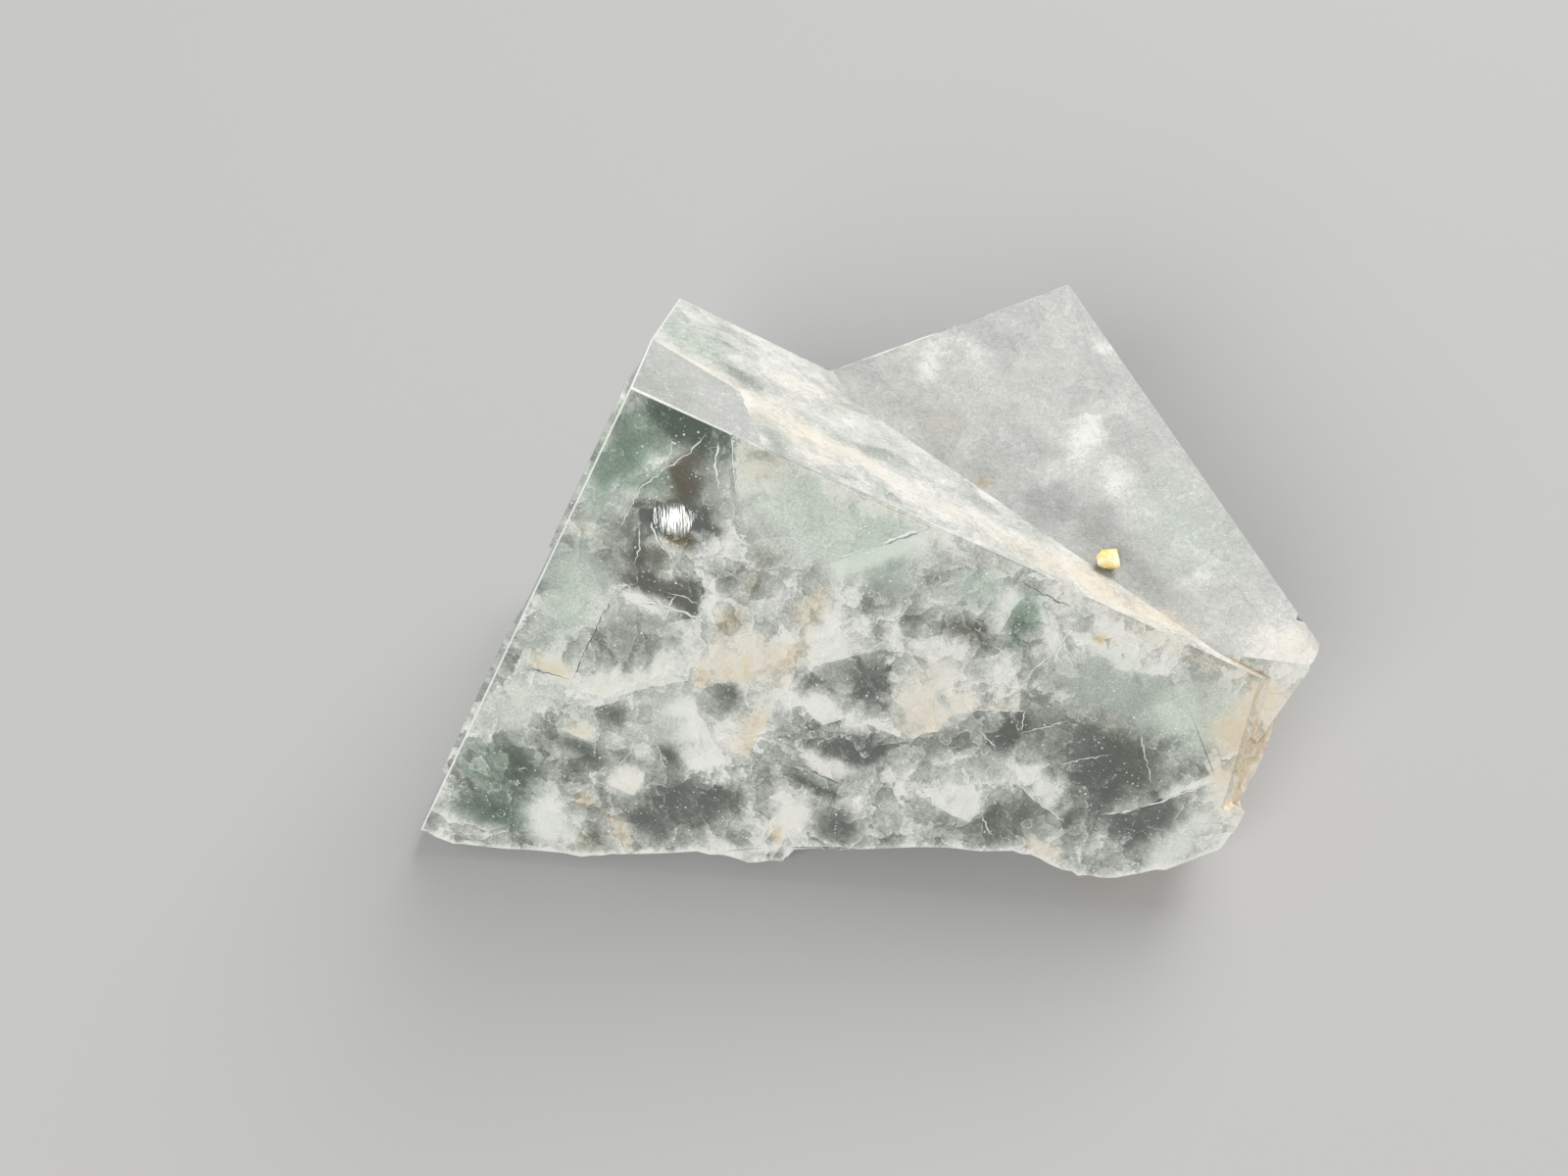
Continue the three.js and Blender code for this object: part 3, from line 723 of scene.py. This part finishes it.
def painted_rim_light(flat, mesh):
    """How near flat places on the front face are to its broken rim, from 1 at it to 0: where a bright rim of
    light is painted.
    """
    nearest = np.full(len(flat), 1e9)
    for key in rim_keys(mesh):
        start, end = flat_places(np.array([mesh.vertices[n].co for n in key]), "front")
        way = end - start
        share = np.clip((flat - start) @ way / max(way @ way, 1e-9), 0, 1)
        nearest = np.minimum(nearest, np.linalg.norm(flat - start - share[:, None] * way, axis=1))
    return np.exp(-((nearest / RIM_WIDTH) ** 2))


# Corners of the thin growth plates on the front face, X and down, where they thin out to nothing.
THIN_CORNERS = [(10.8, 4.4), (20.2, 7.6), (40.5, 13.4), (52.6, 4.6)]
# The growth plates at the back and the right, which slope down to the face at one side: the crystal,
# the box around them, the axis that they stand out along and where the face is, and the axis that
# they slope along with their thin and thick sides, all in mm.
GROWTH_PLATES = [
    (LEANING, (3.9, 23.22, -30.1), (32.1, 24.5, -5.9), 1, 23.2, 2, -6, -19),
    (UPRIGHT, (0.02, -20.1, -15.1), (0.6, -4.9, -2.3), 0, 0.0, 1, -5, -20),
    (UPRIGHT, (0.02, -31.1, -12.1), (0.9, -22.9, -2.5), 0, 0.0, 2, -12, -2.6),
    (UPRIGHT, (-17.1, 0.02, -14.1), (-3.9, 0.7, -1.5), 1, 0.0, 0, -4, -17),
]
PLATE_SHARE = (0.04, 0.75)


def slope_plates(made):
    """Slopes the growth plates at the back and the right down to the faces."""
    for vertex in made.data.vertices:
        for crystal, low, high, out, face, along, thin, thick in GROWTH_PLATES:
            place = crystal.inverted() @ (vertex.co / MM)
            if all(a < value < b for a, value, b in zip(low, place, high)):
                share = (place[along] - thin) / (thick - thin)
                place[out] = face + (place[out] - face) * float(np.clip(share, *PLATE_SHARE))
                vertex.co = crystal @ place * MM


# The corner below the upright crystal's left end, in the leaning crystal, and where it goes so that
# no dark slot is left between the two.
SLOT_CORNER = ((16.32, 21.5, 0.0), (15.1, 21.5, 0.0))


def thin_plates(made):
    """Moves the plates' thin corners back to the front face, and closes the slot at the left end."""
    back = LEANING.inverted()
    for vertex in made.data.vertices:
        place = back @ (vertex.co / MM)
        corner = Vector((place.x, -place.z))
        if place.y < -0.1 and any((corner - Vector(thin)).length < 0.3 for thin in THIN_CORNERS):
            vertex.co = LEANING @ Vector((place.x, -0.01, place.z)) * MM
        if (place - Vector(SLOT_CORNER[0])).length < 0.1:
            vertex.co = LEANING @ Vector(SLOT_CORNER[1]) * MM


def kind_of_face(face):
    """What a face of the crystals is, by where it looks and where it is."""
    place = LEANING.inverted() @ (face.center / MM)
    # Rounded edges keep the pale finish only at the left, as rubbing and a painted highlight.
    if face.material_index == FINISHES["worn"]:
        return "worn" if place.x < RUBBED_HIGHLIGHT_END else "cleaved"
    turn = LEANING.to_3x3()
    ahead = -face.normal.dot(turn.col[1])
    if ahead > ALIGNED or (ahead > 0.4 and place.y < 0.3):
        return "front"
    if face.normal.dot(UPRIGHT.to_3x3().col[2]) > ALIGNED:
        return "upright_top"
    tilt = math.degrees(face.normal.angle(turn.col[2]))
    if tilt < 1:
        return "top"
    if tilt < 9 and abs(place.z) < 1:
        return "bevel" if place.x + BEVEL_SLANT * place.y < BEVEL_END else "top"
    # Painted light: small faces in the shade between the two crystals get the pale finish.
    if place.z > 0 and place.x < LIT_NOTCH_END:
        return "worn"
    beside = abs((UPRIGHT.inverted() @ (face.center / MM)).x) < 0.6
    if place.x > 54 and place.y < 16 and not beside:
        return "end"
    return "cleaved"


def finish_faces(made, pieces):
    """Gives each face its finish, and stores on its corners how cloudy, tan, green and calm it is."""
    mesh = made.data
    kinds = [kind_of_face(face) for face in mesh.polygons]
    for face, kind in zip(mesh.polygons, kinds):
        face.material_index = FINISHES[kind]
    for name in FIELDS:
        mesh.attributes.new(name, "FLOAT", "CORNER")
    corner_kinds = np.repeat(kinds, column(mesh.polygons, "loop_total", 1)[:, 0].astype(int))
    middles = np.repeat(
        column(mesh.polygons, "center", 3), column(mesh.polygons, "loop_total", 1)[:, 0].astype(int), axis=0
    )
    places = column(mesh.vertices, "co", 3)[column(mesh.loops, "vertex_index", 1)[:, 0].astype(int)]
    fields = np.zeros((len(places), len(FIELDS)))
    for kind, (*_, spots) in SPOTTED.items():
        chosen = corner_kinds == kind
        flat = flat_places(places[chosen], kind)
        fields[chosen] = spot_fields(flat, spots)
        if kind == "front":
            fields[chosen] += veil_fields(flat, flat_places(middles[chosen], kind), pieces)
            # Painted rim light: extra milk along the broken bottom edge.
            fields[chosen, 0] += RIM_PAINTED_LIGHT * painted_rim_light(flat, mesh)
    fields[:, 0] = np.clip(fields[:, 0], *MILK_LIMITS)
    for n, name in enumerate(FIELDS):
        mesh.attributes[name].data.foreach_set("value", fields[:, n].astype(np.float32))


def make_crystals():
    made = copy_of_node("fluorite_crystals", "fluorite_crystals_body")
    for settings in FLUORITES:
        made.data.materials.append(fluorite(*settings))
    thin_plates(made)
    slope_plates(made)
    break_rim(made)
    wear_edges(made)
    cut_grid(made, LEANING, (0, -1, 0), [(0, 0, 64), (2, -48, 0)], FRONT_GRID)
    cut_grid(made, LEANING, (0, 0, 1), [(0, 0, 62), (1, 0, 24)], TOP_GRID)
    cut_grid(made, LEANING, BEVEL_FACES, [(0, 0, 62), (1, 0, 8)], BEVEL_GRID)
    cut_grid(made, UPRIGHT, (0, 0, 1), [(0, -26, 0), (1, -46, 0)], TOP_GRID)
    turn = LEANING.to_3x3()
    cut_faces(
        made,
        lambda faces: column(faces, "normal", 3) @ np.array(turn @ Vector(BEVEL_FACES)) > ALIGNED,
        LEANING @ Vector((BEVEL_END, 0, 0)),
        turn @ Vector((1, BEVEL_SLANT, 0)).normalized(),
    )
    pieces = veil_pieces()
    cut_veil_edges(made, pieces)
    finish_faces(made, pieces)
    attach(made, "root")
    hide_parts("fluorite_crystals")
    return made


# Cracks on the front face: half their width in mm, and places as X and down.
CRACKS = [
    (0.09, [(7.0, 1.4), (6.5, 3.6), (4.8, 7.0), (4.2, 8.4), (4.1, 12.2)]),
    (0.17, [(8.1, 1.6), (8.6, 3.4), (10.0, 5.6)]),
    (0.13, [(8.8, 0.8), (10.2, 3.2), (11.7, 5.8)]),
    (0.10, [(5.4, 11.4), (6.3, 13.3), (6.6, 14.9)]),
    (0.16, [(6.0, 10.4), (7.2, 11.8), (8.6, 12.6)]),
    (0.14, [(10.0, 15.8), (11.4, 15.6), (12.8, 15.6)]),
    (0.12, [(12.8, 14.2), (12.8, 15.6)]),
    (0.12, [(10.7, 15.7), (10.7, 17.0), (10.9, 19.0)]),
    (0.15, [(9.0, 16.6), (10.1, 17.2), (11.9, 16.9), (13.4, 16.9), (13.4, 15.2)]),
    (0.22, [(8.4, 17.8), (9.6, 17.2), (10.7, 18.0)]),
    (0.06, [(6.1, 18.1), (8.4, 18.1), (10.6, 18.2)]),
    (0.30, [(26.0, 0.9), (24.4, 2.6), (23.4, 4.2)]),
    (0.14, [(23.4, 4.2), (22.0, 5.6), (20.5, 7.2)]),
    (0.10, [(16.0, 6.9), (17.2, 6.6), (18.8, 6.6)]),
    (0.10, [(23.9, 16.1), (25.6, 14.6), (27.0, 13.2), (28.0, 11.6), (29.3, 11.6)]),
    (0.10, [(30.4, 11.6), (31.6, 10.9), (33.4, 10.4)]),
    (0.08, [(17.3, 16.8), (18.2, 15.7), (20.0, 15.9)]),
    (0.08, [(16.4, 21.7), (18.4, 20.7), (20.0, 19.9)]),
    (0.06, [(22.6, 23.2), (23.4, 23.1), (23.4, 22.4)]),
    (0.08, [(35.6, 7.7), (38.5, 7.7), (38.4, 9.4), (38.4, 12.0)]),
    (0.10, [(41.0, 3.5), (40.9, 5.8), (40.2, 8.2), (39.9, 9.8)]),
    (0.09, [(36.2, 15.2), (38.6, 13.2), (41.5, 11.9), (42.2, 13.8)]),
    (0.07, [(42.2, 14.0), (43.4, 12.8), (45.2, 10.8)]),
    (0.07, [(46.4, 15.2), (48.4, 13.4), (50.0, 12.0)]),
    (0.10, [(38.8, 15.4), (40.6, 15.9), (41.4, 16.7)]),
    (0.12, [(43.0, 16.6), (44.4, 18.4), (46.8, 19.2), (50.0, 20.0)]),
    (0.10, [(51.0, 9.1), (52.7, 11.0), (54.4, 12.9)]),
    (0.14, [(52.4, 17.8), (55.6, 14.9), (57.4, 12.6), (59.2, 10.3)]),
    (0.06, [(42.8, 24.0), (42.8, 21.4), (42.7, 19.4)]),
    (0.10, [(43.2, 22.6), (44.2, 23.5), (45.4, 24.4)]),
    (0.08, [(3.4, 23.6), (3.8, 25.4), (3.8, 26.2)]),
    (0.07, [(4.6, 24.6), (5.0, 25.8)]),
    (0.08, [(1.2, 22.8), (1.8, 22.0)]),
    (0.12, [(13.6, 31.0), (13.4, 32.2), (13.0, 33.4)]),
    (0.08, [(30.2, 27.4), (30.3, 31.0), (30.1, 34.0)]),
    (0.06, [(11.4, 35.9), (12.6, 35.5), (15.6, 35.4)]),
]
DARK_CRACKS = [
    (0.05, [(6.1, 18.2), (6.0, 22.5), (6.2, 27.2)]),
    (0.08, [(27.2, 25.6), (29.0, 25.8), (30.9, 25.8)]),
    (0.06, [(2.2, 27.9), (4.4, 27.6), (6.2, 27.2)]),
    (0.06, [(35.2, 1.4), (37.4, 1.6), (40.0, 1.6)]),
]
CRACK_STEP = 0.35
CRACK_JAG = 0.1
CRACK_FLATNESS = 0.08


def front_depth(crystals, way):
    """How far back the front surface is at a place on it."""
    ahead = LEANING.to_3x3() @ Vector((0, -1, 0))
    start = (LEANING @ Vector((way.x, 0, -way.y)) + ahead * 3) * MM
    found, place, *_ = crystals.ray_cast(start, -ahead, distance=4 * MM)
    return (LEANING.inverted() @ (place / MM)).y if found else None


def make_cracks(crystals, name, cracks, material):
    """Thin, slightly jagged cracks in the front face as one mesh of flat strips."""
    data = bpy.data.curves.new(name, "CURVE")
    data.dimensions = "3D"
    data.bevel_depth = MM
    data.bevel_resolution = 0
    data.use_fill_caps = True
    for half_width, places in cracks:
        ways = jagged_line([Vector(place) for place in places], CRACK_STEP, CRACK_JAG)
        depths = [front_depth(crystals, way) for way in ways]
        ways = [(way, depth) for way, depth in zip(ways, depths) if depth is not None]
        spline = data.splines.new("POLY")
        spline.points.add(len(ways) - 1)
        for n, (point, (way, depth)) in enumerate(zip(spline.points, ways)):
            point.co = (way.x * MM, depth / CRACK_FLATNESS * MM, -way.y * MM, 1)
            ends = min(n, len(ways) - 1 - n) / 3
            point.radius = half_width * min(1, 0.1 + ends) * chance.uniform(0.25, 1.0)
    curve = bpy.data.objects.new(name, data)
    bpy.context.collection.objects.link(curve)
    make_active(curve)
    bpy.ops.object.convert(target="MESH")
    made = bpy.context.view_layer.objects.active
    made.scale = (1, CRACK_FLATNESS, 1)
    made.rotation_euler = LEANING.to_euler()
    made.location = LEANING.to_translation() * MM
    bpy.ops.object.transform_apply()
    bpy.ops.object.mode_set(mode="EDIT")
    bpy.ops.mesh.select_all(action="SELECT")
    bpy.ops.mesh.remove_doubles(threshold=0.0005 * MM)
    bpy.ops.object.mode_set(mode="OBJECT")
    made.data.materials.clear()
    made.data.materials.append(material)
    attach(made, "root")


def glassy_fracture(name):
    """A shell-like crack, tilted in the crystal, that mirrors the light in fine ridges."""
    material, tree = blank_material(name)
    place = add(tree, "TexCoord").outputs["Object"]
    slope = LEANING.to_3x3() @ Vector(GLINT_SLOPE)
    tilt = add(tree, "VectorMath", {0: place, 1: slope}, operation="DOT_PRODUCT").outputs["Value"]
    middle = LEANING @ Vector(GLINT_AT) * MM
    away = add(tree, "VectorMath", {0: place, 1: middle}, operation="DISTANCE").outputs["Value"]
    bowl = add(tree, "Math", {0: away, 1: 2.0}, operation="POWER")
    stretched = add(tree, "Mapping", {"Vector": place, "Scale": (3500, 500, 500)})
    ridges = add(tree, "TexNoise", {"Vector": stretched, "Scale": 1.0})
    height = weighted_sum(tree, 0.0, [(tilt, 1.0), (bowl, GLINT_BOWL / MM), (ridges, GLINT_RIDGES * MM)])
    bump = add(tree, "Bump", {"Height": height, "Strength": 1.0, "Distance": 1.0})
    inputs = {"Base Color": linear("#8E908A"), "Roughness": 0.23, "Metallic": 1.0, "Normal": bump}
    add(tree, "OutputMaterial", {"Surface": add(tree, "BsdfPrincipled", inputs)})
    return material


def make_leaf(name, sides, rings):
    """A thin round leaf with a radius of one, bulging towards +Z by the rings' heights."""
    bpy.ops.object.select_all(action="DESELECT")
    bpy.ops.mesh.primitive_circle_add(vertices=sides, radius=1.0, fill_type="NGON")
    made = bpy.context.active_object
    made.name = name
    bpy.ops.object.mode_set(mode="EDIT")
    bpy.ops.mesh.select_mode(type="FACE")
    bpy.ops.mesh.select_all(action="SELECT")
    for thickness, height in rings:
        bpy.ops.mesh.inset(thickness=thickness, depth=height)
    bpy.ops.mesh.poke()
    bpy.ops.object.mode_set(mode="OBJECT")
    for vertex in made.data.vertices:
        if vertex.co.xy.length > 0.9:
            vertex.co.xy *= chance.uniform(0.75, 1.15)
    walls = made.modifiers.new("walls", "SOLIDIFY")
    walls.thickness = 0.02
    bpy.ops.object.modifier_apply(modifier=walls.name)
    return made


GLINT_AT = (7.7, -0.015, -9.45)
GLINT_SIZE = (1.9, 1.6)
# How it rises along the leaning crystal's axes, and how high its ridges are in mm.
GLINT_SLOPE = (0.254, 0.0, -0.218)
GLINT_RIDGES = 0.1
# How fast its walls steepen away from its middle, per mm.
GLINT_BOWL = 0.1


def make_glint():
    """The bright shell-like crack in the window at the left."""
    made = make_leaf("glassy_crack", 22, [(0.3, 0.01), (0.3, 0.005)])
    made.matrix_world = (
        Matrix.Translation(LEANING @ Vector(GLINT_AT) * MM)
        @ LEANING.to_3x3().to_4x4()
        @ Matrix.Rotation(math.radians(90), 4, "X")
        @ Matrix.Diagonal((GLINT_SIZE[0] * MM, GLINT_SIZE[1] * MM, MM, 1))
    )
    make_active(made)
    bpy.ops.object.transform_apply()
    made.data.materials.append(glassy_fracture("glassy_fracture"))
    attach(made, "root")


FLAKES = 110
FLAKE_LENGTH = (0.4, 1.6)
FLAKE_DEPTH = (0.2, 1.6)


def make_flakes():
    """Small flat cracks inside the leaning crystal, along its four ways of splitting."""
    leaf = make_leaf("inner_cracks", 12, [(0.5, 0.02)])
    leaf.data.materials.append(broken_wall("inner_crack_wall", "#D3D8D0", 0.35))
    copies = [leaf]
    for _ in range(FLAKES):
        across = chance.uniform(2, 57)
        down = chance.uniform(2, 38 - 0.5 * across)
        reach = chance.uniform(*FLAKE_LENGTH)
        place = LEANING @ Vector((across, reach + chance.uniform(*FLAKE_DEPTH), -down)) * MM
        facing = LEANING.to_3x3() @ Vector([chance.choice((-1, 1)) for _ in range(3)])
        turned = facing.to_track_quat("Z", "Y") @ Quaternion((0, 0, 1), chance.uniform(0, math.tau))
        length = reach * MM
        size = Matrix.Diagonal((length, length * chance.uniform(0.2, 0.6), length, 1))
        copy = leaf.copy()
        copy.data = leaf.data.copy()
        bpy.context.collection.objects.link(copy)
        copy.matrix_world = Matrix.Translation(place) @ turned.to_matrix().to_4x4() @ size
        copies.append(copy)
    leaf.matrix_world = copies[-1].matrix_world.copy()
    bpy.data.objects.remove(copies.pop())
    make_active(leaf)
    for copy in copies:
        copy.select_set(True)
    bpy.ops.object.join()
    bpy.ops.object.transform_apply()
    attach(leaf, "root")


GRAIN_TAPER = 0.6
# Between which heights in mm the grain turns from orange below to yellow.
GRAIN_LOW = 21.1
GRAIN_HIGH = 22.1


def taper_grain(made):
    """Narrows the grain to a low tip at its lower right, as seen from the front."""
    along, across = Vector((1, -1, 0)).normalized(), Vector((1, 1, 0)).normalized()
    places = [vertex.co.copy() for vertex in made.data.vertices]
    middle = sum(places, Vector()) / len(places)
    reach = max((place - middle).dot(along) for place in places)
    for vertex, place in zip(made.data.vertices, places):
        offset = place - middle
        share = min(1, max(0, offset.dot(along) / reach + 0.3)) * GRAIN_TAPER
        vertex.co -= across * offset.dot(across) * share
        vertex.co.z -= max(0, offset.z) * share


def make_yellow_grain():
    made = copy_of_node("yellow_grain", "yellow_mineral_grain")
    taper_grain(made)
    made.data.materials.append(yellow_mineral())
    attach(made, "root")
    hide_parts("yellow_grain")


crystals = make_crystals()
make_cracks(crystals, "white_cracks", CRACKS, broken_wall("fractured_fluorite", "#E9EBE5", 0.4))
make_cracks(crystals, "dark_cracks", DARK_CRACKS, broken_wall("open_crack", "#555A55", 0.5))
make_glint()
make_flakes()
make_yellow_grain()


# Stage, light and camera

CAMERA_AT = Vector((-6.07, -81.48, 150.23)) * MM
CAMERA_DOWN = 60
LENS = 40.5
MIDDLE = Vector((0, 0, 15)) * MM


def make_floor():
    bpy.ops.object.select_all(action="DESELECT")
    bpy.ops.mesh.primitive_plane_add(size=3.0, location=(0, 0, 0))
    floor = bpy.context.active_object
    floor.name = "floor"
    material, tree = blank_material("pale_paper")
    surface = add(tree, "BsdfPrincipled", {"Base Color": linear("#B2B1AF"), "Roughness": 0.85})
    add(tree, "OutputMaterial", {"Surface": surface})
    floor.data.materials.append(material)


def area_light(name, place, size, power):
    data = bpy.data.lights.new(name, "AREA")
    data.shape = "DISK"
    data.size = size
    data.energy = power
    light = bpy.data.objects.new(name, data)
    bpy.context.collection.objects.link(light)
    light.location = place
    light.rotation_euler = (MIDDLE - Vector(place)).to_track_quat("-Z", "Y").to_euler()


def make_world():
    world = bpy.data.worlds.new("soft_room")
    bpy.context.scene.world = world
    world.use_nodes = True
    background = world.node_tree.nodes["Background"]
    background.inputs["Color"].default_value = (0.95, 0.97, 1.0, 1.0)
    background.inputs["Strength"].default_value = 0.4


def make_camera():
    data = bpy.data.cameras.new("camera")
    data.lens = LENS
    data.sensor_width = 36
    data.clip_start = 0.01
    camera = bpy.data.objects.new("camera", data)
    bpy.context.collection.objects.link(camera)
    camera.location = CAMERA_AT
    camera.rotation_euler = (math.radians(90 - CAMERA_DOWN), 0, 0)
    bpy.context.scene.camera = camera


make_floor()
make_world()
area_light("key", (0.5, 0.75, 0.75), 0.7, 12.0)
area_light("fill", (-0.5, -0.75, 0.75), 0.8, 9.0)
bpy.context.scene.view_settings.view_transform = "Standard"
make_camera()
